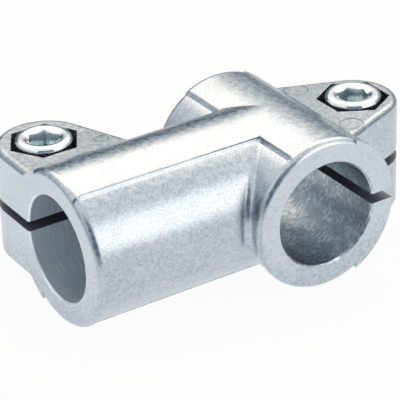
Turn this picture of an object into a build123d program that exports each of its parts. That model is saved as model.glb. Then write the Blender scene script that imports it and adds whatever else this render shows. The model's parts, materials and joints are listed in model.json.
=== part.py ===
from build123d import *
import math
import os

# Angle clamp for two round tubes that meet at a right angle, in millimetres.
# A one-piece light-alloy casting has two slit barrels, each with a clamping ear,
# and each ear is drawn together by a socket head screw and a hexagon nut.
# The origin is where the two bore axes cross. The long barrel points to -X with
# its ear on the +Y side, the cross barrel lies along Y with its ear on the +X
# side, and +Z is up. The slits lie in the plane Z = 0.

# Barrels
bore_diameter = 30.0
barrel_wall = 7.0
long_barrel_length = 68.5
cross_barrel_length = 54.0
end_round = 2.0
mouth_chamfer = 0.5
wall_between_bores = 4.5

# Side relief: away from the ear, each barrel is a little thinner below its crown.
# It starts behind a full rim at the end face, with a rounded corner there.
relief_depth = 0.6
relief_start = 2.2
relief_corner_round = 1.0
crown_half_width = 9.75
relief_foot_round = 0.8

# Rounding of the valleys where the long barrel runs into the cross barrel
valley_round = 2.0
# The most of the straight stretch beside it that this rounding takes
valley_share = 0.9

# Ears
wall_bore_to_screw = 8.0
seat_height = 7.8
pocket_depth = 8.7
long_pocket_wall = 3.1
cross_pocket_wall = 2.0
ear_taper = 22.0
ear_edge_round = 1.8
slit_width = 3.0
slit_stop = 2.0

# Marks left by the mould's ejector pins on the ears' upper faces, placed from the screw
ejector_mark_depth = 0.15
cross_ejector_diameter = 6.8
cross_ejector_inward = 10.2
cross_ejector_sideways = 13.2
long_ejector_diameter = 4.0
long_ejector_inward = 8.4
long_ejector_sideways = 13.3

# Socket head screws and hexagon nuts, coarse thread
thread_diameter = 10.0
thread_clearance = 0.05
screw_hole_clearance = 0.5
head_diameter = 16.0
head_height = 10.0
head_edge_round = 1.5
head_foot_chamfer = 0.3
socket_across_flats = 8.0
socket_depth = 5.0
socket_lead_in = 0.8
socket_lead_in_angle = 60.0
point_chamfer = 1.0
thread_beyond_nut = 1.4
nut_across_flats = 17.0
nut_height = 8.0
nut_face_share = 0.95
nut_chamfer_angle = 30.0
# This turn lays two flats of the nuts and of their pockets square to the ear's direction
nut_turn = 30.0
pocket_clearance = 0.5
# How far each socket's hexagon has turned from its ear's direction once the screw is tight
long_socket_turn = 28.0
cross_socket_turn = 13.0

# Sizes that follow from the ones above
bore_radius = bore_diameter / 2
crown_radius = bore_radius + barrel_wall
relief_radius = crown_radius - relief_depth
foot_end = (crown_half_width + relief_foot_round) * relief_radius / (relief_radius + relief_foot_round)
long_bore_length = long_barrel_length - bore_radius - wall_between_bores
screw_hole_radius = thread_diameter / 2 + screw_hole_clearance
screw_offset = bore_radius + wall_bore_to_screw + screw_hole_radius
screw_length = 2 * seat_height + nut_height + thread_beyond_nut
ear_half_height = seat_height + pocket_depth
pocket_across_flats = max(nut_across_flats, head_diameter) + 2 * pocket_clearance
pocket_corner_radius = pocket_across_flats / math.sqrt(3)
long_nose_radius = pocket_corner_radius + long_pocket_wall
cross_nose_radius = pocket_corner_radius + cross_pocket_wall
long_slit_length = long_barrel_length - crown_radius - slit_stop
ear_root = bore_radius / 2
valley_room = cross_barrel_length / 2 - end_round - crown_radius

LOW_X = (Align.MIN, Align.CENTER)
LOW_XY = (Align.MIN, Align.MIN)

# Each barrel has a plane at its end face: z runs into the barrel, x points to the relieved side
long_face = Plane(origin=(-long_barrel_length, 0, 0), x_dir=(0, -1, 0), z_dir=(1, 0, 0))
cross_face = Plane(origin=(0, -cross_barrel_length / 2, 0), x_dir=(-1, 0, 0), z_dir=(0, 1, 0))

# Each screw has a plane at the middle of its ear: z is the screw's axis, x points out along the ear
long_screw_x = long_nose_radius - long_barrel_length
long_middle = Plane(origin=(long_screw_x, screw_offset, 0), x_dir=(0, 1, 0), z_dir=(0, 0, 1))
cross_middle = Plane(origin=(screw_offset, 0, 0), x_dir=(1, 0, 0), z_dir=(0, 0, 1))


def round_bar(face, radius, length, rounded_ends):
    """A plain round bar from an end face, with its rim rounded at one end or at both."""
    with BuildPart() as bar:
        with BuildSketch(face):
            Circle(radius)
        extrude(amount=length)
        ends = bar.faces().filter_by(GeomType.PLANE).sort_by(Axis(face.origin, face.z_dir))
        fillet([end.edges()[0] for end in ends[:rounded_ends]], end_round)
    return bar.part


def barrel(face, length, rounded_ends):
    """A barrel blank: the crown and the ear side at full radius, the far side relieved."""
    plan = Plane(face.origin, x_dir=face.x_dir, z_dir=-face.y_dir)
    with BuildPart() as crown:
        with BuildSketch(plan) as outline:
            Rectangle(2 * crown_radius, length, align=(Align.CENTER, Align.MIN))
            with Locations((crown_half_width, relief_start)):
                Rectangle(crown_radius, length, align=LOW_XY, mode=Mode.SUBTRACT)
            corner = outline.vertices().sort_by_distance((crown_half_width, relief_start))[0]
            fillet(corner, relief_corner_round)
        extrude(amount=crown_radius, both=True)
        add(round_bar(face, crown_radius, length, rounded_ends), mode=Mode.INTERSECT)

    # The rims stay sharp on the ear side, beyond the crown
    with BuildPart() as ear_side:
        with BuildSketch(face):
            Circle(crown_radius)
            with Locations((-crown_half_width, 0)):
                Rectangle(2 * crown_radius, 2 * crown_radius, align=LOW_X, mode=Mode.SUBTRACT)
        extrude(amount=length)

    # The relieved side, with a rounded foot along the crown
    with BuildPart() as blank:
        with BuildSketch(face) as section:
            Circle(crown_radius)
            with Locations((crown_half_width, 0)):
                Rectangle(crown_radius, 2 * crown_radius, align=LOW_X, mode=Mode.SUBTRACT)
            Circle(relief_radius)
            corners = section.vertices().filter_by(lambda corner: corner.X > 0)
            feet = corners.group_by(lambda corner: math.hypot(corner.X, corner.Y))[0]
            fillet(feet, relief_foot_round)
            with Locations((foot_end, 0)):
                Rectangle(crown_radius, 2 * crown_radius, align=LOW_X, mode=Mode.SUBTRACT)
        extrude(amount=length)
        add(round_bar(face, crown_radius, length, rounded_ends), mode=Mode.INTERSECT)
        add(round_bar(face, relief_radius, length, rounded_ends))
        add(crown.part)
        add(ear_side.part)
    return blank.part


def tee(radius):
    """Both barrels at one radius up to their rounded ends, with rounded valleys between them."""
    with BuildPart() as bars:
        with BuildSketch(long_face.offset(end_round)):
            Circle(radius)
        extrude(amount=long_barrel_length - end_round)
        with BuildSketch(cross_face.offset(end_round)):
            Circle(radius)
        extrude(amount=cross_barrel_length - 2 * end_round)
        valleys = bars.edges().filter_by(GeomType.ELLIPSE).sort_by(Axis.Y)
        fillet(valleys[0], min(valley_round, valley_share * valley_room))
        split(bisect_by=Plane.XZ, keep=Keep.TOP)
        mirror(about=Plane.XZ)
    return bars.part


def ear(middle, nose_radius, far_taper, near_taper):
    """An ear: a nose round its screw, and two sides that run back into the barrel's wall."""
    with BuildPart() as tab:
        with BuildSketch(middle.offset(-ear_half_height)):
            with BuildLine():
                turn = 180 - near_taper - far_taper
                nose = CenterArc((0, 0), nose_radius, near_taper - 90, turn)
                near_run = (screw_offset - ear_root + (nose @ 0).X) / math.cos(math.radians(near_taper))
                far_run = (screw_offset - ear_root + (nose @ 1).X) / math.cos(math.radians(far_taper))
                near_side = PolarLine(nose @ 0, near_run, 180 + near_taper)
                far_side = PolarLine(nose @ 1, far_run, 180 - far_taper)
                Line(far_side @ 1, near_side @ 1)
            make_face()
        extrude(amount=2 * ear_half_height)
        levels = tab.faces().sort_by(Axis.Z)
        outward = Axis(middle.origin, middle.x_dir)
        rims = [level.edges().sort_by(outward)[1:] for level in (levels[0], levels[-1])]
        fillet(rims[0] + rims[1], ear_edge_round)
    return tab.part


def socket_screw(middle, socket_turn):
    """A socket head cap screw with its head on the floor of the upper pocket."""
    lead_in_radius = socket_across_flats / math.sqrt(3) + socket_lead_in
    lead_in_depth = (lead_in_radius - socket_across_flats / 2) / math.tan(math.radians(socket_lead_in_angle))
    with BuildPart() as screw:
        with BuildSketch(middle.offset(seat_height)):
            Circle(head_diameter / 2)
        extrude(amount=head_height)
        fillet(screw.edges().sort_by(Axis.Z)[-1], head_edge_round)
        chamfer(screw.edges().sort_by(Axis.Z)[0], head_foot_chamfer)
        with BuildSketch(middle.offset(seat_height - screw_length)):
            Circle(thread_diameter / 2)
        extrude(amount=screw_length)
        chamfer(screw.edges().sort_by(Axis.Z)[0], point_chamfer)
        top = middle.offset(seat_height + head_height)
        with BuildSketch(top):
            RegularPolygon(socket_across_flats / 2, 6, major_radius=False, rotation=socket_turn)
        extrude(amount=-socket_depth, mode=Mode.SUBTRACT)
        with BuildSketch(top):
            Circle(lead_in_radius)
        extrude(amount=-lead_in_depth, taper=socket_lead_in_angle, mode=Mode.SUBTRACT)
    return screw.part


def hex_nut(middle):
    """A hexagon nut, chamfered on both faces, against the floor of the lower pocket."""
    face_radius = nut_face_share * nut_across_flats / 2
    corner_radius = nut_across_flats / math.sqrt(3)
    fall = (corner_radius - face_radius) * math.tan(math.radians(nut_chamfer_angle))
    half_height = nut_height / 2
    centre = middle.offset(-seat_height - half_height)
    with BuildPart() as nut:
        with BuildSketch(centre):
            RegularPolygon(nut_across_flats / 2, 6, major_radius=False, rotation=nut_turn)
        extrude(amount=half_height, both=True)
        with BuildSketch(Plane(centre.origin, x_dir=centre.x_dir, z_dir=-centre.y_dir)):
            with BuildLine():
                Polyline(
                    (0, half_height),
                    (face_radius, half_height),
                    (corner_radius, half_height - fall),
                    (corner_radius, fall - half_height),
                    (face_radius, -half_height),
                    (0, -half_height),
                    close=True,
                )
            make_face()
        revolve(axis=Axis(centre.origin, centre.z_dir), mode=Mode.INTERSECT)
        with BuildSketch(centre):
            Circle(thread_diameter / 2 + thread_clearance)
        extrude(amount=half_height, both=True, mode=Mode.SUBTRACT)
    return nut.part


long_barrel = barrel(long_face, long_barrel_length, 1)
cross_barrel = barrel(cross_face, cross_barrel_length, 2)
junction = tee(relief_radius)
crown_junction = tee(crown_radius)
long_ear = ear(long_middle, long_nose_radius, 0, ear_taper)
cross_ear = ear(cross_middle, cross_nose_radius, ear_taper, ear_taper)

# The crown where the barrels cross, between the four corners of the relief
with BuildPart() as crossing:
    with BuildSketch(Plane.XY.offset(-crown_radius)):
        Rectangle(2 * crown_half_width, 2 * crown_half_width)
    extrude(amount=2 * crown_radius)
    add(crown_junction, mode=Mode.INTERSECT)

# The casting
with BuildPart() as clamp_body:
    add(long_barrel)
    add(cross_barrel)
    add(junction)
    add(crossing.part)
    add(long_ear)
    add(cross_ear)

    # Bores, the cross one right through and the long one up to the wall between them
    with BuildSketch(cross_face):
        Circle(bore_radius)
    extrude(amount=cross_barrel_length, mode=Mode.SUBTRACT)
    rims = clamp_body.edges(Select.LAST).filter_by(GeomType.CIRCLE)
    chamfer(rims.filter_by(lambda rim: rim.is_closed), mouth_chamfer)
    with BuildSketch(long_face):
        Circle(bore_radius)
    extrude(amount=long_bore_length, mode=Mode.SUBTRACT)
    rims = clamp_body.edges(Select.LAST).filter_by(GeomType.CIRCLE)
    chamfer(rims.sort_by(Axis.X)[0], mouth_chamfer)

    # Slits through one wall of each barrel and on through its ear
    with BuildSketch(Plane.XY.offset(-slit_width / 2)):
        Rectangle(screw_offset + cross_nose_radius, cross_barrel_length, align=LOW_X)
        with Locations((-long_barrel_length, 0)):
            Rectangle(long_slit_length, screw_offset + long_nose_radius, align=LOW_XY)
    extrude(amount=slit_width, mode=Mode.SUBTRACT)

    # Screw holes, and the hexagon pockets above and below each ear
    for middle in (long_middle, cross_middle):
        with BuildSketch(middle):
            Circle(screw_hole_radius)
        extrude(amount=ear_half_height, both=True, mode=Mode.SUBTRACT)
        for pocket_floor in (seat_height, -ear_half_height):
            with BuildSketch(middle.offset(pocket_floor)):
                RegularPolygon(pocket_across_flats / 2, 6, major_radius=False, rotation=nut_turn)
            extrude(amount=pocket_depth, mode=Mode.SUBTRACT)

    # Ejector pin marks
    for middle, diameter, places in (
        (cross_middle, cross_ejector_diameter, (-cross_ejector_sideways, cross_ejector_sideways)),
        (long_middle, long_ejector_diameter, (-long_ejector_sideways,)),
    ):
        inward = cross_ejector_inward if middle is cross_middle else long_ejector_inward
        with BuildSketch(middle.offset(ear_half_height - ejector_mark_depth)):
            with Locations([(-inward, place) for place in places]):
                Circle(diameter / 2)
        extrude(amount=ejector_mark_depth, mode=Mode.SUBTRACT)

pieces = {
    "clamp_body": clamp_body.part,
    "long_arm_screw": socket_screw(long_middle, long_socket_turn),
    "cross_arm_screw": socket_screw(cross_middle, cross_socket_turn),
    "long_arm_nut": hex_nut(long_middle),
    "cross_arm_nut": hex_nut(cross_middle),
}

os.makedirs("parts", exist_ok=True)
for name, piece in pieces.items():
    piece.label = name
    export_step(piece, f"parts/{name}.step")
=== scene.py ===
"""Studio picture of an angle clamp: a blasted die casting with two socket screws and their nuts.

Everything is in metres, in the clamp's own frame. The long barrel points to -X, the cross
barrel lies along Y, and +Z runs up the screws to their heads.
"""

from __future__ import annotations

import json
import logging
import math
from dataclasses import dataclass, replace
from enum import Enum

import bpy
import numpy as np
from mathutils import Matrix, Vector

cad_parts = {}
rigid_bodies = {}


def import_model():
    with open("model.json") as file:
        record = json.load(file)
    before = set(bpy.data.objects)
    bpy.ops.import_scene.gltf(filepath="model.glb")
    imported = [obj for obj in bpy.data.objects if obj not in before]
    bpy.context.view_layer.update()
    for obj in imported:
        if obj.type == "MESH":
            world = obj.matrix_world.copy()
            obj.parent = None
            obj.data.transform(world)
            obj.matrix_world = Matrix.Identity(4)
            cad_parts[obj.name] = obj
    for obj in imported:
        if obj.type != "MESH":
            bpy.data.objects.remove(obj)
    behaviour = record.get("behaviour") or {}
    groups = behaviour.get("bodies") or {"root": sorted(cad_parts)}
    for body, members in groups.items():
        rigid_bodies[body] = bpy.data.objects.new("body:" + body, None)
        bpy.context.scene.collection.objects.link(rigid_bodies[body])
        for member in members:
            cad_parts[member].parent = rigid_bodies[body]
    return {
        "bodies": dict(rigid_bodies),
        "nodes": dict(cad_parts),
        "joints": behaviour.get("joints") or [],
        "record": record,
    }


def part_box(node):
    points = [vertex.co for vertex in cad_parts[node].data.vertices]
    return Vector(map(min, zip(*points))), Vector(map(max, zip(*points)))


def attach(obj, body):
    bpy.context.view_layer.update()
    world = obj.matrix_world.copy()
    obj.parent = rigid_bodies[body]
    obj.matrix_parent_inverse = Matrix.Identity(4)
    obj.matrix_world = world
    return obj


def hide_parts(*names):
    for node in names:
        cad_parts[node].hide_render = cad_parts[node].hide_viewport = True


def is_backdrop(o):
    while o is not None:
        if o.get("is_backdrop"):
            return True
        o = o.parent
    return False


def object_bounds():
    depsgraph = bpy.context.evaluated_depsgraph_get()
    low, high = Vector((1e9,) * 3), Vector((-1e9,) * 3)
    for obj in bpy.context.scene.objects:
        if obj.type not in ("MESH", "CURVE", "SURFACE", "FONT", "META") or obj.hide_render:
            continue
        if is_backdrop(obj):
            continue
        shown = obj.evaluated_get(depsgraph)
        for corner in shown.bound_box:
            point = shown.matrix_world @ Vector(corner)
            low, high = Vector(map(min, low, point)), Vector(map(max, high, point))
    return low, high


LOG = logging.getLogger("angle_clamp")
MM = 0.001
WHITE = (1.0, 1.0, 1.0)
SHADING_SAMPLES = 6

Colour = tuple[float, float, float]
Point = tuple[float, float, float]
Pair = tuple[float, float]
Rings = tuple[np.ndarray, np.ndarray]
Socket = bpy.types.NodeSocket


class Direction(Enum):
    """A direction of the clamp's frame, as the weights of X, Y and Z."""

    X = (1.0, 0.0, 0.0)
    Y = (0.0, 1.0, 0.0)
    Z = (0.0, 0.0, 1.0)


def opaque(colour: Colour | Socket) -> tuple[float, float, float, float] | Socket:
    """Gives a plain colour its fourth part, and leaves a socket as it is."""
    return (*colour, 1.0) if isinstance(colour, tuple) else colour


class NodeBoard:
    """A node tree with short calls to add nodes and to wire them."""

    def __init__(self, tree: bpy.types.NodeTree) -> None:
        """Empties the tree.

        Args:
            tree: The node tree of a material or of the world.
        """
        self.tree = tree
        self.tree.nodes.clear()

    def add(self, kind: str, inputs: dict | None = None, **settings: object) -> bpy.types.Node:
        """Adds one node.

        Args:
            kind: The node's type, such as "ShaderNodeBump".
            inputs: Socket name or number to a constant, or to the output socket that feeds it.
            settings: The node's own properties.

        Returns:
            The new node.
        """
        node = self.tree.nodes.new(kind)
        for name, value in settings.items():
            setattr(node, name, value)
        for socket, value in (inputs or {}).items():
            if isinstance(value, Socket):
                self.tree.links.new(value, node.inputs[socket])
            else:
                node.inputs[socket].default_value = value
        return node

    def math(self, operation: str, *values: Socket | float) -> Socket:
        """Adds a Math node.

        Args:
            operation: The node's operation, such as "MULTIPLY".
            values: A constant or a socket for each operand.

        Returns:
            The result's socket.
        """
        return self.add("ShaderNodeMath", dict(enumerate(values)), operation=operation).outputs[0]

    def total(self, first: Socket, *others: Socket | float) -> Socket:
        """Adds values up, one after another.

        Args:
            first: The socket to start from.
            others: The sockets or constants to add.

        Returns:
            The sum's socket.
        """
        for other in others:
            first = self.math("ADD", first, other)
        return first

    def product(self, first: Socket, *others: Socket | float) -> Socket:
        """Multiplies values, one after another. For masks this is where all of them hold.

        Args:
            first: The socket to start from.
            others: The sockets or constants to multiply by.

        Returns:
            The product's socket.
        """
        for other in others:
            first = self.math("MULTIPLY", first, other)
        return first

    def mix(self, share: Socket, low: Colour | Socket, high: Colour | Socket) -> Socket:
        """Mixes two colours.

        Args:
            share: How much of the second colour, from 0 to 1.
            low: The colour at share 0.
            high: The colour at share 1.

        Returns:
            The mixed colour's socket.
        """
        inputs = {0: share, 6: opaque(low), 7: opaque(high)}
        return self.add("ShaderNodeMix", inputs, data_type="RGBA").outputs[2]

    def blend(self, share: Socket, low: Socket | float, high: Socket | float) -> Socket | float:
        """Mixes two numbers, unless they are the same one.

        Args:
            share: How much of the second number, from 0 to 1.
            low: The number at share 0.
            high: The number at share 1.

        Returns:
            The mixed number's socket, or the number that both are.
        """
        if low == high:
            return low
        return self.add("ShaderNodeMix", {0: share, 2: low, 3: high}).outputs[0]

    def ramp(self, value: Socket, span: Pair, to: Pair, smooth: bool = True) -> Socket:
        """Maps a value from one range to another, clamped at both ends.

        Args:
            value: The socket to map.
            span: The values that give the first and the second result.
            to: The two results.
            smooth: Whether the way between them starts and ends gently.

        Returns:
            The mapped value's socket.
        """
        sockets = {"Value": value, 1: span[0], 2: span[1], 3: to[0], 4: to[1]}
        course = "SMOOTHSTEP" if smooth else "LINEAR"
        return self.add("ShaderNodeMapRange", sockets, interpolation_type=course).outputs[0]

    def seen_directly(self) -> Socket:
        """Tells rays that show the surroundings from rays that only light things.

        Returns:
            A socket that is 1 for camera, glossy and transmission rays and 0 for the others.
        """
        rays = self.add("ShaderNodeLightPath").outputs
        shown = self.math("MAXIMUM", rays["Is Camera Ray"], rays["Is Glossy Ray"])
        return self.math("MAXIMUM", shown, rays["Is Transmission Ray"])


@dataclass(frozen=True)
class Layer:
    """What one kind of metal surface hands to the shader."""

    colour: Socket
    roughness: Socket | float
    height: Socket
    metal: Socket | float = 1.0

    def under(self, board: NodeBoard, mask: Socket, other: Layer) -> Layer:
        """Lays another layer over this one.

        Args:
            board: The material's board.
            mask: 1 where the other layer shows and 0 where this one does.
            other: The layer on top.

        Returns:
            The two as one layer.
        """
        return Layer(
            colour=board.mix(mask, self.colour, other.colour),
            roughness=board.blend(mask, self.roughness, other.roughness),
            height=board.blend(mask, self.height, other.height),
            metal=board.blend(mask, self.metal, other.metal),
        )


class SurfaceBoard(NodeBoard):
    """The node tree of a new material, with what a finish reads from the surface."""

    def __init__(self, name: str) -> None:
        """Starts a material that reads Object coordinates.

        Args:
            name: The material's name.
        """
        self.material = bpy.data.materials.new(name)
        self.material.use_nodes = True
        super().__init__(self.material.node_tree)
        self.place = self.add("ShaderNodeTexCoord").outputs["Object"]
        self.x, self.y, self.z = self.add("ShaderNodeSeparateXYZ", {0: self.place}).outputs

    def noise(self, grain: float, detail: float = 1.0) -> Socket:
        """Adds a noise of one grain size.

        Args:
            grain: The size of one grain in metres.
            detail: How many finer layers lie on the first.

        Returns:
            The noise's value, about 0.5 on average.
        """
        sockets = {"Vector": self.place, "Scale": 1.0 / grain, "Detail": detail}
        return self.add("ShaderNodeTexNoise", sockets).outputs[0]

    def stretched(self, grain: Point, detail: float = 3.0) -> Socket:
        """Adds a noise whose grain has its own size along each axis.

        Args:
            grain: The grain's size along X, Y and Z in metres.
            detail: How many finer layers lie on the first.

        Returns:
            The noise's value, about 0.5 on average.
        """
        scale = tuple(1.0 / size for size in grain)
        scaled = self.add("ShaderNodeMapping", {"Vector": self.place, "Scale": scale}).outputs[0]
        sockets = {"Vector": scaled, "Scale": 1.0, "Detail": detail}
        return self.add("ShaderNodeTexNoise", sockets).outputs[0]

    def radius_about(self, direction: Direction, centre: Point = (0.0, 0.0, 0.0)) -> Socket:
        """Gives the distance from an axis.

        Args:
            direction: The axis's direction.
            centre: A point that it runs through.

        Returns:
            The distance's socket, in metres.
        """
        across = tuple(1.0 - weight for weight in direction.value)
        offset = self.add("ShaderNodeVectorMath", {0: self.place, 1: centre}, operation="SUBTRACT")
        flat = self.add("ShaderNodeVectorMath", {0: offset.outputs[0], 1: across}, operation="MULTIPLY")
        return self.add("ShaderNodeVectorMath", {0: flat.outputs[0]}, operation="LENGTH").outputs[1]

    def from_barrels(self) -> Socket:
        """Gives the distance from the nearer of the two barrels' axes, in metres."""
        return self.math("MINIMUM", self.radius_about(Direction.X), self.radius_about(Direction.Y))

    def upright(self) -> Socket:
        """Gives how far the surface faces up or down, from 0 on a wall to 1 on a flat."""
        facing = self.add("ShaderNodeNewGeometry").outputs["True Normal"]
        return self.math("ABSOLUTE", self.add("ShaderNodeSeparateXYZ", {0: facing}).outputs[2])

    def open_air(self, reach: float, span: Pair) -> Socket:
        """Tells open surface from corners.

        Args:
            reach: How far a neighbouring face counts.
            span: The open shares at which the result is 0 and 1.

        Returns:
            A socket that is 1 in the open and falls to 0 in a corner.
        """
        shade = self.add("ShaderNodeAmbientOcclusion", {"Distance": reach}, samples=SHADING_SAMPLES)
        return self.ramp(shade.outputs["AO"], span, (0.0, 1.0))

    def rounded(self, radius: float) -> Socket:
        """Gives a normal that turns gently over each edge, as a round of that radius would."""
        return self.add("ShaderNodeBevel", {"Radius": radius}, samples=SHADING_SAMPLES).outputs[0]

    def finish(self, shader: bpy.types.Node) -> bpy.types.Material:
        """Wires a shader to the material's output.

        Args:
            shader: The shader node that gives the surface.

        Returns:
            The finished material.
        """
        self.add("ShaderNodeOutputMaterial", {"Surface": shader.outputs[0]})
        return self.material

    def finish_metal(self, layer: Layer, normal: Socket) -> bpy.types.Material:
        """Makes the material a metal.

        Args:
            layer: The metal's colour, roughness and fine relief.
            normal: The normal that the relief changes.

        Returns:
            The finished material.
        """
        relief = self.add("ShaderNodeBump", {
            "Strength": 1.0, "Distance": 1.0, "Height": layer.height, "Normal": normal,
        })
        return self.finish(self.add("ShaderNodeBsdfPrincipled", {
            "Base Color": layer.colour,
            "Metallic": layer.metal,
            "Roughness": layer.roughness,
            "Normal": relief.outputs[0],
        }))


@dataclass(frozen=True)
class Grain:
    """One layer of a surface's grain: a noise, and the share of a second colour that it gives.

    Where the noise rises through its span, the share goes from its first value to its second.
    The height is how deep the grain's relief is.
    """

    size: float
    span: Pair
    share: Pair
    height: float = 0.0

    def share_of(self, board: SurfaceBoard, noise: Socket) -> Socket:
        """Gives the second colour's share at each value of the noise."""
        return board.ramp(noise, self.span, self.share)


@dataclass(frozen=True)
class PaintedFlatLight:
    """The flat faces, with painted light and shade: the barrels' ends are painted paler towards the top
    and darker towards the bottom, and the flat faces lower than the ears' tops are painted darker.
    """

    end_of_long: float = -68.2 * MM
    end_of_cross: float = 26.7 * MM
    end_heights: Pair = (-24.0 * MM, 2.0 * MM)
    end_shares: Pair = (-0.147, 0.42)
    ear_top: float = 17.5 * MM
    ear_shade_share: float = -0.34
    flat_from: float = 0.95

    def painted_light_share(self, board: SurfaceBoard) -> Socket:
        """Gives the extra share of the pale colour that paints light and shade on the flat faces.

        Args:
            board: The casting's board.

        Returns:
            A socket that is the share on the flats and 0 elsewhere.
        """
        on_long = board.math("LESS_THAN", board.x, self.end_of_long)
        on_cross = board.math("GREATER_THAN", board.math("ABSOLUTE", board.y), self.end_of_cross)
        paler = board.ramp(board.z, self.end_heights, self.end_shares)
        flat = board.math("GREATER_THAN", board.upright(), self.flat_from)
        low = board.math("LESS_THAN", board.math("ABSOLUTE", board.z), self.ear_top)
        # Painted light on the barrels' ends towards the top, and painted shade towards the bottom.
        ends = board.product(board.math("MAXIMUM", on_long, on_cross), paler)
        # Painted shade: the flat faces lower than the ears' tops are darker.
        return board.total(ends, board.product(flat, low, self.ear_shade_share))


@dataclass(frozen=True)
class EarRims:
    """The ears' rounded edges, painted darker in a speckled band as painted shade."""

    heights: Pair = (14.6 * MM, 16.45 * MM)
    soft_start: float = 0.5 * MM
    round_from: float = 0.12
    clear_of_barrels: float = 22.4 * MM
    speckle_span: Pair = (0.3, 0.65)
    # Painted shade: the share of the shade colour on the rounds, from the speckle's low to its high.
    shares: Pair = (0.62, 0.372)

    def shade_share(self, board: SurfaceBoard, speckle: Socket) -> Socket:
        """Finds the band by its height, its slope and its distance from the barrels.

        Args:
            board: The casting's board.
            speckle: The fine speckle's noise.

        Returns:
            A socket that is the share of painted shade on the rounds and 0 elsewhere.
        """
        height = board.math("ABSOLUTE", board.z)
        low, high = self.heights
        above = board.ramp(height, (low, low + self.soft_start), (0.0, 1.0))
        below = board.math("LESS_THAN", height, high)
        sloping = board.math("GREATER_THAN", board.upright(), self.round_from)
        clear = board.math("GREATER_THAN", board.from_barrels(), self.clear_of_barrels)
        share = board.ramp(speckle, self.speckle_span, self.shares)
        return board.product(above, below, sloping, clear, share)


@dataclass(frozen=True)
class PinMark:
    """The round mark that one of the mould's ejector pins left on an ear."""

    x: float
    y: float
    radius: float


@dataclass(frozen=True)
class PinMarks:
    """Painted shade in the shallow steps of the pin marks, a thin dark ring round each centre."""

    marks: tuple[PinMark, ...] = (
        PinMark(18.3 * MM, 13.2 * MM, 3.4 * MM),
        PinMark(18.3 * MM, -13.2 * MM, 3.4 * MM),
        PinMark(-41.7 * MM, 20.1 * MM, 2.0 * MM),
    )
    line: Pair = (0.10 * MM, 0.30 * MM)
    # Painted shade: the share of the shade colour at the middle of each ring.
    share: float = 0.75
    heights: Pair = (16.2 * MM, 16.7 * MM)

    def shade_share(self, board: SurfaceBoard) -> Socket:
        """Draws the rings on the ears' upper faces.

        Args:
            board: The casting's board.

        Returns:
            A socket that is the share of painted shade on the rings and 0 elsewhere.
        """
        low, high = self.heights
        on_top = board.product(
            board.math("GREATER_THAN", board.z, low), board.math("LESS_THAN", board.z, high),
        )
        rings = 0.0
        for mark in self.marks:
            reach = board.radius_about(Direction.Z, (mark.x, mark.y, 0.0))
            gap = board.math("ABSOLUTE", board.math("SUBTRACT", reach, mark.radius))
            rings = board.math("MAXIMUM", rings, board.ramp(gap, self.line, (self.share, 0.0)))
        return board.product(rings, on_top)


@dataclass(frozen=True)
class BlastedSkin:
    """The casting's skin: a fine speckle, a mottle and a slow drift of tone, with painted light and shade
    on the flat faces, and painted shade in corners, on the ears' rounds and in the pin marks' steps.
    """

    colour: Colour = (0.362, 0.412, 0.462)
    pale: Colour = (0.61, 0.665, 0.715)
    # Painted shade: the next colour is laid into corners that ambient occlusion finds, on the ears'
    # rounds and in the pin marks' steps.
    painted_shade: Colour = (0.26, 0.305, 0.345)
    shade_reach: float = 0.7 * MM
    shade_span: Pair = (0.15, 0.62)
    speckle: Grain = Grain(0.48 * MM, span=(0.34, 0.66), share=(0.08, 0.56), height=0.013 * MM)
    mottle: Grain = Grain(1.5 * MM, span=(0.34, 0.68), share=(0.0, 0.32), height=0.006 * MM)
    cloud: Grain = Grain(11.0 * MM, span=(0.3, 0.7), share=(0.0, 0.15))
    roughness: Pair = (0.235, 0.335)
    roughness_span: Pair = (0.3, 0.7)
    flats: PaintedFlatLight = PaintedFlatLight()
    rim_shade: EarRims = EarRims()
    pin_marks: PinMarks = PinMarks()

    def layer(self, board: SurfaceBoard) -> Layer:
        """Makes the skin.

        Args:
            board: The casting's board.

        Returns:
            The skin's layer.
        """
        speckle = board.noise(self.speckle.size)
        mottle = board.noise(self.mottle.size)
        share = board.total(
            self.speckle.share_of(board, speckle),
            self.mottle.share_of(board, mottle),
            self.cloud.share_of(board, board.noise(self.cloud.size)),
            self.flats.painted_light_share(board),
        )
        tone_before_shade = board.mix(share, self.colour, self.pale)
        # Painted shade: the colour darkens to the shade colour where ambient occlusion finds a corner.
        shaded_corners = board.mix(board.open_air(self.shade_reach, self.shade_span), self.painted_shade, tone_before_shade)
        # Painted shade on the ears' rounds and in the pin marks' steps.
        shade_share = board.math("MAXIMUM", self.rim_shade.shade_share(board, speckle), self.pin_marks.shade_share(board))
        pits = board.product(speckle, self.speckle.height)
        dents = board.product(mottle, self.mottle.height)
        return Layer(
            colour=board.mix(shade_share, shaded_corners, self.painted_shade),
            roughness=board.ramp(mottle, self.roughness_span, self.roughness),
            height=board.total(pits, dents),
        )


@dataclass(frozen=True)
class BoredWall:
    """A bore's turned wall, with the short streaks that the boring tool left round it."""

    along: Direction
    colour: Colour
    pale: Colour
    streak: Point
    roughness: float
    metal: float = 1.0
    streak_span: Pair = (0.38, 0.62)
    streak_height: float = 0.075 * MM
    patch: Grain = Grain(4.0 * MM, span=(0.35, 0.65), share=(0.35, 1.0))
    room: float = 0.6 * MM

    def inside(self, board: SurfaceBoard, radius: float) -> Socket:
        """Finds the wall: all that lies nearer to the bore's axis than its radius and a little room."""
        return board.math("LESS_THAN", board.radius_about(self.along), radius + self.room)

    def layer(self, board: SurfaceBoard) -> Layer:
        """Makes the wall's surface.

        Args:
            board: The casting's board.

        Returns:
            The wall's layer.
        """
        streaks = board.stretched(self.streak)
        patches = self.patch.share_of(board, board.noise(self.patch.size))
        share = board.product(board.ramp(streaks, self.streak_span, (0.0, 1.0)), patches)
        return Layer(
            colour=board.mix(share, self.colour, self.pale),
            roughness=self.roughness,
            height=board.product(streaks, self.streak_height),
            metal=self.metal,
        )


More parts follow.
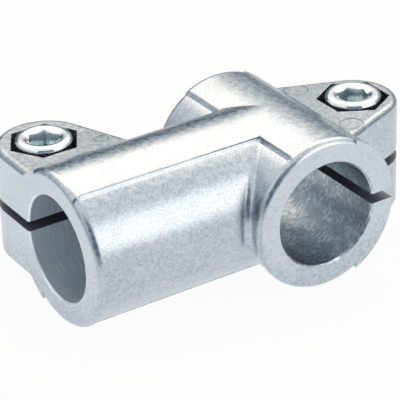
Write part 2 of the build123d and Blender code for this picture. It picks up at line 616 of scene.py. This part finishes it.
@dataclass(frozen=True)
class SlitFaces:
    """The saw-cut faces of the slits: they lie within the slit's width of Z = 0 and face up or down.
    Their dark colour is painted shade; their higher roughness is the cut's own finish.
    """

    # Painted shade: the dark colour of the faces deep in the narrow slit.
    colour: Colour = (0.28, 0.29, 0.33)
    roughness: float = 0.6
    half_width: float = 1.5 * MM
    room: float = 0.05 * MM
    flat_from: float = 0.9

    def over(self, board: SurfaceBoard, below: Layer) -> Layer:
        """Paints the slits' faces dark as shade and dulls them, and keeps the relief that is there.

        Args:
            board: The casting's board.
            below: The layer without the slits.

        Returns:
            The layer with them.
        """
        near = board.math("LESS_THAN", board.math("ABSOLUTE", board.z), self.half_width + self.room)
        cut = board.product(near, board.math("GREATER_THAN", board.upright(), self.flat_from))
        colour = board.mix(cut, below.colour, self.colour)
        return replace(below, colour=colour, roughness=board.blend(cut, below.roughness, self.roughness))


@dataclass(frozen=True)
class CrownStep:
    """The broad round at the foot of the crown's step, on both barrels' outer skin.

    The way from the step is how far the larger of X and minus the size of Y lies beyond the step's
    line. The surface rises evenly over the last stretch of it and then turns up into the step.
    """

    line: float = 9.75 * MM
    sweep: Pair = (0.35 * MM, 0.95 * MM)
    rise: float = 0.34 * MM
    turn: Pair = (0.10 * MM, 0.35 * MM)
    lip: float = 0.08 * MM
    skin_radius: float = 20.9 * MM

    def bend(self, board: SurfaceBoard, normal: Socket) -> Socket:
        """Bends the normal as the round would.

        Args:
            board: The casting's board.
            normal: The normal to start from.

        Returns:
            The changed normal's socket.
        """
        beside = board.product(board.math("ABSOLUTE", board.y), -1.0)
        away = board.math("SUBTRACT", -self.line, board.math("MAXIMUM", board.x, beside))
        slope = board.ramp(away, self.sweep, (self.rise, 0.0), smooth=False)
        height = board.total(slope, board.ramp(away, self.turn, (self.lip, 0.0)))
        outside = board.math("GREATER_THAN", board.from_barrels(), self.skin_radius)
        return board.add("ShaderNodeBump", {
            "Strength": outside, "Distance": 1.0, "Height": height, "Normal": normal,
        }).outputs[0]


@dataclass(frozen=True)
class CastFinish:
    """Blasted light-alloy die casting, with turned bores and dull saw-cut slits."""

    skin: BlastedSkin = BlastedSkin()
    cross_wall: BoredWall = BoredWall(
        along=Direction.Y,
        colour=(0.34, 0.39, 0.44),
        pale=(0.76, 0.80, 0.83),
        streak=(1.3 * MM, 0.42 * MM, 1.3 * MM),
        roughness=0.32,
    )
    # Painted light: the long bore's wall is much paler than the cross bore's and partly not metal,
    # standing in for light that reaches deep into the bore.
    long_wall: BoredWall = BoredWall(
        along=Direction.X,
        colour=(0.74, 0.81, 0.87),
        pale=(0.94, 0.98, 1.0),
        streak=(0.42 * MM, 7.0 * MM, 7.0 * MM),
        roughness=0.42,
        metal=0.88,
    )
    slits: SlitFaces = SlitFaces()
    step: CrownStep = CrownStep()
    edge_round: float = 0.25 * MM

    def build(self, bore_radius: float, floor_x: float) -> bpy.types.Material:
        """Makes the material.

        Args:
            bore_radius: The bores' radius.
            floor_x: Where the long bore ends.

        Returns:
            The finished material.
        """
        board = SurfaceBoard("blasted_casting")
        in_cross = self.cross_wall.inside(board, bore_radius)
        in_long = board.product(
            self.long_wall.inside(board, bore_radius), board.math("LESS_THAN", board.x, floor_x),
        )
        layer = self.skin.layer(board)
        layer = layer.under(board, in_cross, self.cross_wall.layer(board))
        layer = layer.under(board, in_long, self.long_wall.layer(board))
        layer = self.slits.over(board, layer)
        return board.finish_metal(layer, self.step.bend(board, board.rounded(self.edge_round)))


@dataclass(frozen=True)
class PlatedFinish:
    """Plated steel, with faint streaks along the screw's axis and, if asked for, painted shade in its
    corners.
    """

    name: str = "bright_plate"
    colour: Colour = (0.86, 0.885, 0.90)
    worn: Colour = (0.70, 0.745, 0.765)
    roughness: float = 0.10
    roughness_change: Pair = (-0.03, 0.05)
    cloud: Grain = Grain(2.5 * MM, span=(0.35, 0.75), share=(0.2, 1.0))
    cloud_detail: float = 3.0
    streak: Point = (0.35 * MM, 0.35 * MM, 3.5 * MM)
    streak_span: Pair = (0.3, 0.7)
    streak_height: float = 0.006 * MM
    edge_round: float = 0.12 * MM
    corner: Colour = (0.10, 0.125, 0.14)
    corner_reach: float = 0.0
    corner_span: Pair = (0.60, 0.95)

    def build(self) -> bpy.types.Material:
        """Makes the material.

        Returns:
            The finished material.
        """
        board = SurfaceBoard(self.name)
        streaks = board.stretched(self.streak)
        clouds = self.cloud.share_of(board, board.noise(self.cloud.size, self.cloud_detail))
        share = board.product(clouds, board.ramp(streaks, self.streak_span, (0.0, 1.0)))
        colour = board.mix(share, self.colour, self.worn)
        # Painted shade: the colour turns to the corner colour where ambient occlusion finds a corner.
        if self.corner_reach > 0:
            colour = board.mix(board.open_air(self.corner_reach, self.corner_span), self.corner, colour)
        smoother, rougher = (self.roughness + change for change in self.roughness_change)
        layer = Layer(
            colour=colour,
            roughness=board.ramp(streaks, self.streak_span, (smoother, rougher)),
            height=board.product(streaks, self.streak_height),
        )
        return board.finish_metal(layer, board.rounded(self.edge_round))


def surface_from_rows(
    name: str, rows: np.ndarray, first_pole: np.ndarray, last_pole: np.ndarray,
) -> bpy.types.Object:
    """Makes a closed surface from rings of points that run from one pole to the other.

    The ring points are rows[i, j]; each square of four neighbours is a face, the last column
    joins the first one, and a fan of triangles closes each end.

    Args:
        name: The object's name.
        rows: Points of shape (rings, columns, 3), with the columns turning left about +Z.
        first_pole: The point inside the first ring.
        last_pole: The point inside the last ring.

    Returns:
        The new object, linked to the scene.
    """
    rings, columns = rows.shape[:2]
    ring, column = np.meshgrid(np.arange(rings - 1), np.arange(columns), indexing="ij")
    after = (column + 1) % columns
    squares = np.stack([
        ring * columns + column,
        (ring + 1) * columns + column,
        (ring + 1) * columns + after,
        ring * columns + after,
    ], axis=-1).reshape(-1, 4)
    around = np.arange(columns)
    following = (around + 1) % columns
    first, last = rings * columns, rings * columns + 1
    tail = (rings - 1) * columns
    start_fan = np.stack([np.full(columns, first), around, following], axis=-1)
    end_fan = np.stack([np.full(columns, last), tail + following, tail + around], axis=-1)
    points = np.concatenate([rows.reshape(-1, 3), first_pole[None], last_pole[None]])
    mesh = bpy.data.meshes.new(name)
    mesh.from_pydata(points.tolist(), [], squares.tolist() + start_fan.tolist() + end_fan.tolist())
    mesh.update()
    piece = bpy.data.objects.new(name, mesh)
    bpy.context.scene.collection.objects.link(piece)
    return piece


@dataclass
class Casting:
    """The one-piece body: it keeps its own solid and gets its skin."""

    finish: CastFinish
    node: str = "clamp_body"
    floor_room: float = 0.2 * MM

    def dress(self, frame: dict) -> None:
        """Gives the casting its material.
        """
        mounts = {mount["name"]: mount for mount in frame["record"]["mounts"]}
        radius = mounts["bore_cross"]["dims"]["r_mm"] * MM
        long_bore = mounts["bore_long"]
        floor_x = long_bore["pos_m"][0] + long_bore["dims"]["length_mm"] * MM / 2 + self.floor_room
        body = frame["nodes"][self.node]
        body.data.materials.clear()
        body.data.materials.append(self.finish.build(radius, floor_x))
        LOG.info("dressed %s, %d triangles", self.node, len(body.data.polygons))


@dataclass
class SocketScrew:
    """A socket head cap screw with a real thread, in place of its plain solid.

    Its surface is a stack of rings about its axis. Each ring is a radius and a height at every
    angle, from the socket's floor up, over the head and down the shank to the point.
    """

    node: str
    body: str
    name: str
    turned: float = 0.0
    head_height: float = 10.0 * MM
    head_edge_round: float = 1.5 * MM
    head_edge_steps: int = 9
    foot_chamfer: float = 0.3 * MM
    socket_across_flats: float = 8.0 * MM
    socket_depth: float = 5.0 * MM
    socket_lead_in: float = 0.8 * MM
    lead_in_angle: float = math.radians(60.0)
    lead_in_round: float = 0.12 * MM
    round_below: float = 0.6
    round_beyond: float = 0.3
    drill_share: float = 0.9
    drill_step: float = 0.25 * MM
    drill_depth: float = 0.9 * MM
    thread_radius: float = 5.0 * MM
    thread_start: float = 0.05 * MM
    thread_depth: float = 0.92 * MM
    pitch: float = 1.5 * MM
    flank_slope: float = 2.6
    root_width: float = 0.15
    point_chamfer: float = 1.0 * MM
    sharp_angle: float = math.radians(35.0)
    columns: int = 96
    rows_per_turn: int = 12
    socket_bands: int = 3

    def build(self, material: bpy.types.Material, broached_and_shaded: bpy.types.Material) -> bpy.types.Object:
        """Makes the screw's surface and puts it on its body.

        Args:
            material: The plated finish.
            broached_and_shaded: The duller finish inside the socket, with painted shade in its corners
                and a painted blue-green reflection tint.

        Returns:
            The finished screw.
        """
        low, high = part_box(self.node)
        axis_x, axis_y = (low.x + high.x) / 2, (low.y + high.y) / 2
        head_radius = (high.x - low.x) / 2
        angles = np.linspace(0, 2 * math.pi, self.columns, endpoint=False)
        stretches = (
            self.socket_rings(angles, high.z),
            self.head_rings(angles, high.z, head_radius),
            self.shank_rings(angles, high.z - self.head_height, low.z),
        )
        radius = np.concatenate([stretch[0] for stretch in stretches])
        height = np.concatenate([stretch[1] for stretch in stretches])
        rows = np.stack([
            axis_x + radius * np.cos(angles + self.turned),
            axis_y + radius * np.sin(angles + self.turned),
            height,
        ], axis=-1)
        first = np.array([axis_x, axis_y, high.z - self.socket_depth - self.drill_depth])
        last = np.array([axis_x, axis_y, low.z])
        screw = surface_from_rows(self.name, rows, first, last)
        screw.data.materials.append(material)
        screw.data.materials.append(broached_and_shaded)
        self.mark_socket(screw.data)
        screw.data.shade_smooth()
        screw.data.set_sharp_from_angle(angle=self.sharp_angle)
        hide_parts(self.node)
        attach(screw, self.body)
        LOG.info("built %s, %d faces", self.name, len(screw.data.polygons))
        return screw

    def mark_socket(self, mesh: bpy.types.Mesh) -> None:
        """Gives the socket's floor and walls the second material: the first rings and the first fan.

        Args:
            mesh: The screw's mesh, whose faces run ring by ring, with the two fans at the end.
        """
        slots = np.zeros(len(mesh.polygons), dtype=np.int32)
        slots[:self.socket_bands * self.columns] = 1
        slots[-2 * self.columns:-self.columns] = 1
        mesh.polygons.foreach_set("material_index", slots)

    def hexagon(self, angles: np.ndarray) -> np.ndarray:
        """Gives the socket's radius at each angle: the flat's distance over the cosine from its middle.

        Args:
            angles: The angles round the axis.

        Returns:
            The radius at each angle.
        """
        from_flat = (angles % (math.pi / 3)) - math.pi / 6
        return self.socket_across_flats / 2 / np.cos(from_flat)

    def socket_rings(self, angles: np.ndarray, top: float) -> Rings:
        """Gives the socket from its drilled floor up to the head's top.

        The wall is a hexagon. It ends in a small round where it meets the lead-in, a flat cone
        that opens upwards.

        Args:
            angles: The angles round the axis.
            top: The height of the head's top.

        Returns:
            The radii and the heights, both of shape (rings, columns).
        """
        wall = self.hexagon(angles)
        flat = np.ones_like(angles)
        mouth = self.socket_across_flats / math.sqrt(3) + self.socket_lead_in
        floor = top - self.socket_depth
        drill_radius = self.drill_share * self.socket_across_flats / 2
        slope = 1.0 / math.tan(self.lead_in_angle)
        meets = top - (mouth - wall) * slope
        rounding = self.lead_in_round
        below = self.round_below * rounding
        beyond = self.round_beyond * rounding
        radius, height = zip(
            (flat * drill_radius, flat * (floor - self.drill_step)),
            (flat * drill_radius, flat * floor),
            (wall, flat * floor),
            (wall, meets - below),
            (wall + beyond, meets + beyond * slope),
            (flat * (mouth - rounding), flat * (top - rounding * slope)),
            (flat * (mouth + rounding), flat * top),
        )
        return np.array(radius), np.array(height)

    def head_rings(self, angles: np.ndarray, top: float, radius: float) -> Rings:
        """Gives the head's rounded edge, side and underside: a quarter circle, a cylinder and a chamfer.

        Args:
            angles: The angles round the axis.
            top: The height of the head's top.
            radius: The head's radius.

        Returns:
            The radii and the heights, both of shape (rings, columns).
        """
        flat = np.ones_like(angles)
        edge = self.head_edge_round
        foot = top - self.head_height
        turn = np.linspace(0, math.pi / 2, self.head_edge_steps)
        outwards = np.append(radius - edge + edge * np.sin(turn), [radius, radius - self.foot_chamfer])
        upwards = np.append(top - edge + edge * np.cos(turn), [foot + self.foot_chamfer, foot])
        return np.outer(outwards, flat), np.outer(upwards, flat)

    def shank_rings(self, angles: np.ndarray, foot: float, tip: float) -> Rings:
        """Gives the threaded shank from the head's underside to the chamfered point.

        The radius falls and rises with the height plus the share of a turn, as a right-hand
        thread does, and near the point a cone of 45 degrees cuts it.

        Args:
            angles: The angles round the axis.
            foot: The height of the head's underside.
            tip: The height of the point.

        Returns:
            The radii and the heights, both of shape (rings, columns).
        """
        crest = self.thread_radius
        count = int(round((foot - tip) / self.pitch * self.rows_per_turn))
        height = np.outer(np.linspace(foot - self.thread_start, tip, count), np.ones_like(angles))
        phase = (height / self.pitch - angles / (2 * math.pi)) % 1.0
        ridge = np.clip(self.flank_slope * np.abs(phase - 0.5) - self.root_width, 0.0, 1.0)
        thread = crest - self.thread_depth * (1.0 - ridge)
        cone = crest - self.point_chamfer + (height - tip)
        return np.minimum(thread, cone), height


@dataclass
class Nut:
    """A hexagon nut, which keeps its own solid."""

    node: str

    def dress(self, frame: dict, material: bpy.types.Material) -> None:
        """Gives the nut its material.

        Args:
            material: The plated finish.
        """
        nut = frame["nodes"][self.node]
        nut.data.materials.clear()
        nut.data.materials.append(material)
        LOG.info("dressed %s", self.node)


@dataclass(frozen=True)
class Viewpoint:
    """The camera: it stands back from the origin along a direction, then steps sideways."""

    azimuth: float = -31.94
    elevation: float = 28.64
    roll: float = -2.10
    distance: float = 597.9 * MM
    step_right: float = -19.55 * MM
    step_up: float = -6.41 * MM
    focal_share: float = 2148.0 / 400
    sensor: float = 36.0
    clip_start: float = 10.0 * MM

    def build(self) -> None:
        """Makes the scene's camera. Its focal length is a share of the picture's width."""
        turn, lift, roll = (math.radians(angle) for angle in (self.azimuth, self.elevation, self.roll))
        back = Vector((math.sin(turn) * math.cos(lift), -math.cos(turn) * math.cos(lift), math.sin(lift)))
        right = Vector((0, 0, 1)).cross(back).normalized()
        up = back.cross(right)
        rolled_right = math.cos(roll) * right + math.sin(roll) * up
        rolled_up = math.cos(roll) * up - math.sin(roll) * right
        place = back * self.distance + rolled_right * self.step_right + rolled_up * self.step_up
        attitude = Matrix((rolled_right, rolled_up, back)).transposed().to_4x4()
        camera = bpy.data.objects.new("camera", bpy.data.cameras.new("camera"))
        camera.data.sensor_width = self.sensor
        camera.data.lens = self.focal_share * self.sensor
        camera.data.clip_start = self.clip_start
        camera.matrix_world = Matrix.Translation(place) @ attitude
        bpy.context.scene.collection.objects.link(camera)
        bpy.context.scene.camera = camera


@dataclass(frozen=True)
class SoftBox:
    """An area lamp that looks at the clamp from a direction."""

    name: str
    towards: Point
    distance: float
    width: float
    height: float
    radiance: float
    colour: Colour

    def build(self) -> None:
        """Hangs the lamp. Its power is pi times its area times its radiance."""
        data = bpy.data.lights.new(self.name, "AREA")
        data.shape = "RECTANGLE"
        data.size = self.width
        data.size_y = self.height
        data.energy = self.radiance * math.pi * self.width * self.height
        data.color = self.colour
        lamp = bpy.data.objects.new(self.name, data)
        direction = Vector(self.towards).normalized()
        lamp.location = direction * self.distance
        lamp.rotation_euler = direction.to_track_quat("Z", "Y").to_euler()
        lamp.visible_camera = False
        bpy.context.scene.collection.objects.link(lamp)


@dataclass(frozen=True)
class DarkCard:
    """A curved card that stands on the floor round a part of the clamp and shows dark in the metal.

    It is an arc about the Z axis, between two angles in degrees from +X. Its colour turns to
    white over the top share of its height that fade gives.
    """

    name: str
    from_angle: float
    to_angle: float
    high: float
    colour: Colour
    fade: float = 0.12
    low: float = -22.0 * MM
    radius: float = 400.0 * MM
    columns: int = 49

    def build(self) -> None:
        """Stands the card up, unseen by the camera and without any light or shadow of its own."""
        angles = np.radians(np.linspace(self.from_angle, self.to_angle, self.columns))
        arc = np.stack([self.radius * np.cos(angles), self.radius * np.sin(angles)], axis=-1)
        rows = np.stack([np.insert(arc, 2, height, axis=-1) for height in (self.low, self.high)])
        start = np.arange(self.columns - 1)
        squares = np.stack([start, start + 1, start + 1 + self.columns, start + self.columns], axis=-1)
        mesh = bpy.data.meshes.new(self.name)
        mesh.from_pydata(rows.reshape(-1, 3).tolist(), [], squares.tolist())
        mesh.materials.append(self.glow())
        card = bpy.data.objects.new(self.name, mesh)
        card.visible_camera = False
        card.visible_diffuse = False
        card.visible_shadow = False
        bpy.context.scene.collection.objects.link(card)
        card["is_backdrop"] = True

    def glow(self) -> bpy.types.Material:
        """Makes the card's material, a plain glow that doesn't depend on the lamps.

        Returns:
            The finished material.
        """
        board = SurfaceBoard(self.name)
        fade_from = self.high - self.fade * (self.high - self.low)
        fade = board.ramp(board.z, (fade_from, self.high), (0.0, 1.0))
        colour = board.mix(fade, self.colour, WHITE)
        return board.finish(board.add("ShaderNodeEmission", {"Color": colour, "Strength": 1.0}))


@dataclass
class Studio:
    """A white light tent: a pale floor, a white surround, two soft lamps and four dark cards."""

    floor_radius: float = 2.5
    floor_sides: int = 96
    floor_colour: Colour = (0.93, 0.935, 0.94)
    floor_change: float = 0.985
    floor_grain: float = 0.4
    floor_roughness: float = 0.9
    floor_specular: float = 0.1
    floor_glow: float = 0.93
    ambient: float = 0.62
    boxes: tuple[SoftBox, ...] = (
        SoftBox(
            "back_softbox", towards=(0.345, 0.494, 0.85), distance=1.0,
            width=1.60, height=0.79, radiance=1.30, colour=(1.0, 0.82, 0.60),
        ),
        SoftBox(
            "right_softbox", towards=(0.415, -0.815, 0.40), distance=1.0,
            width=0.62, height=0.66, radiance=1.20, colour=(1.0, 0.90, 0.84),
        ),
    )
    cards: tuple[DarkCard, ...] = (
        DarkCard("back_right_card", -25.0, 57.0, high=0.235, colour=(0.20, 0.25, 0.28), fade=0.68),
        DarkCard("back_card", 57.0, 110.0, high=0.262, colour=(0.08, 0.135, 0.18), fade=0.50),
        DarkCard("back_left_card", 110.0, 205.0, high=0.28, colour=(0.38, 0.44, 0.49), fade=0.95),
        DarkCard("near_card", 208.0, 276.0, high=0.50, colour=(0.16, 0.21, 0.29)),
    )

    def build(self, floor_height: float) -> None:
        """Makes the floor, the sky, the lamps and the cards.

        Args:
            floor_height: The height of the surface that the clamp rests on.
        """
        self.build_floor(floor_height)
        self.build_sky()
        for item in (*self.boxes, *self.cards):
            item.build()

    def build_floor(self, height: float) -> None:
        """Makes the floor, a flat round disc.

        Args:
            height: The floor's height.
        """
        angles = np.linspace(0, 2 * math.pi, self.floor_sides, endpoint=False)
        across = self.floor_radius * np.cos(angles)
        along = self.floor_radius * np.sin(angles)
        rim = np.stack([across, along, np.full(self.floor_sides, height)], axis=-1)
        mesh = bpy.data.meshes.new("floor")
        mesh.from_pydata(rim.tolist(), [], [list(range(self.floor_sides))])
        mesh.materials.append(self.floor_material())
        floor = bpy.data.objects.new("floor", mesh)
        bpy.context.scene.collection.objects.link(floor)
        floor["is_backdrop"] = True

    def floor_material(self) -> bpy.types.Material:
        """Makes a pale paper that glows white where it is seen and keeps the clamp's shadow.

        Returns:
            The finished material.
        """
        board = SurfaceBoard("pale_floor")
        darker = tuple(self.floor_change * part for part in self.floor_colour)
        colour = board.mix(board.noise(self.floor_grain), self.floor_colour, darker)
        paper = board.add("ShaderNodeBsdfPrincipled", {
            "Base Color": colour,
            "Roughness": self.floor_roughness,
            "Specular IOR Level": self.floor_specular,
        })
        glow = board.add("ShaderNodeEmission", {"Color": opaque(WHITE), "Strength": 1.0})
        share = board.product(board.seen_directly(), self.floor_glow)
        return board.finish(board.add("ShaderNodeMixShader", {
            0: share, 1: paper.outputs[0], 2: glow.outputs[0],
        }))

    def build_sky(self) -> None:
        """Makes the surround: white where it is seen, and a plain level where it only lights."""
        world = bpy.data.worlds.new("light_tent")
        bpy.context.scene.world = world
        world.use_nodes = True
        board = NodeBoard(world.node_tree)
        level = board.blend(board.seen_directly(), self.ambient, 1.0)
        light = board.add("ShaderNodeBackground", {"Color": opaque(WHITE), "Strength": level})
        board.add("ShaderNodeOutputWorld", {"Surface": light.outputs[0]})


def main() -> None:
    """Builds the clamp's looks and its studio."""
    logging.basicConfig(level=logging.INFO, format="%(message)s")
    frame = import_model()
    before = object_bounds()
    bpy.context.scene.view_settings.view_transform = "Standard"
    Casting(CastFinish()).dress(frame)
    plate = PlatedFinish().build()
    nut_plate = PlatedFinish(name="nut_plate", roughness=0.24, colour=(0.70, 0.72, 0.73)).build()
    # Painted shade and a painted blue-green reflection tint: the socket's colours are darker and bluer
    # than the plate's, and its corners get painted shade; the streaks and the higher roughness are the
    # broaching's own.
    broached_and_shaded = PlatedFinish(
        name="broached_shaded_socket", colour=(0.80, 0.89, 0.92), worn=(0.38, 0.47, 0.50), roughness=0.22,
        streak=(0.5 * MM, 0.5 * MM, 4.5 * MM), streak_height=0.05 * MM, corner_reach=0.6 * MM,
    ).build()
    long_turn, cross_turn = math.radians(58.0), math.radians(13.0)
    SocketScrew("long_arm_screw", "long_screw", "long_screw_bright", long_turn).build(plate, broached_and_shaded)
    SocketScrew("cross_arm_screw", "cross_screw", "cross_screw_bright", cross_turn).build(plate, broached_and_shaded)
    for node in ("long_arm_nut", "cross_arm_nut"):
        Nut(node).dress(frame, nut_plate)
    Viewpoint().build()
    Studio().build(before[0][2])


if __name__ == "__main__":
    main()
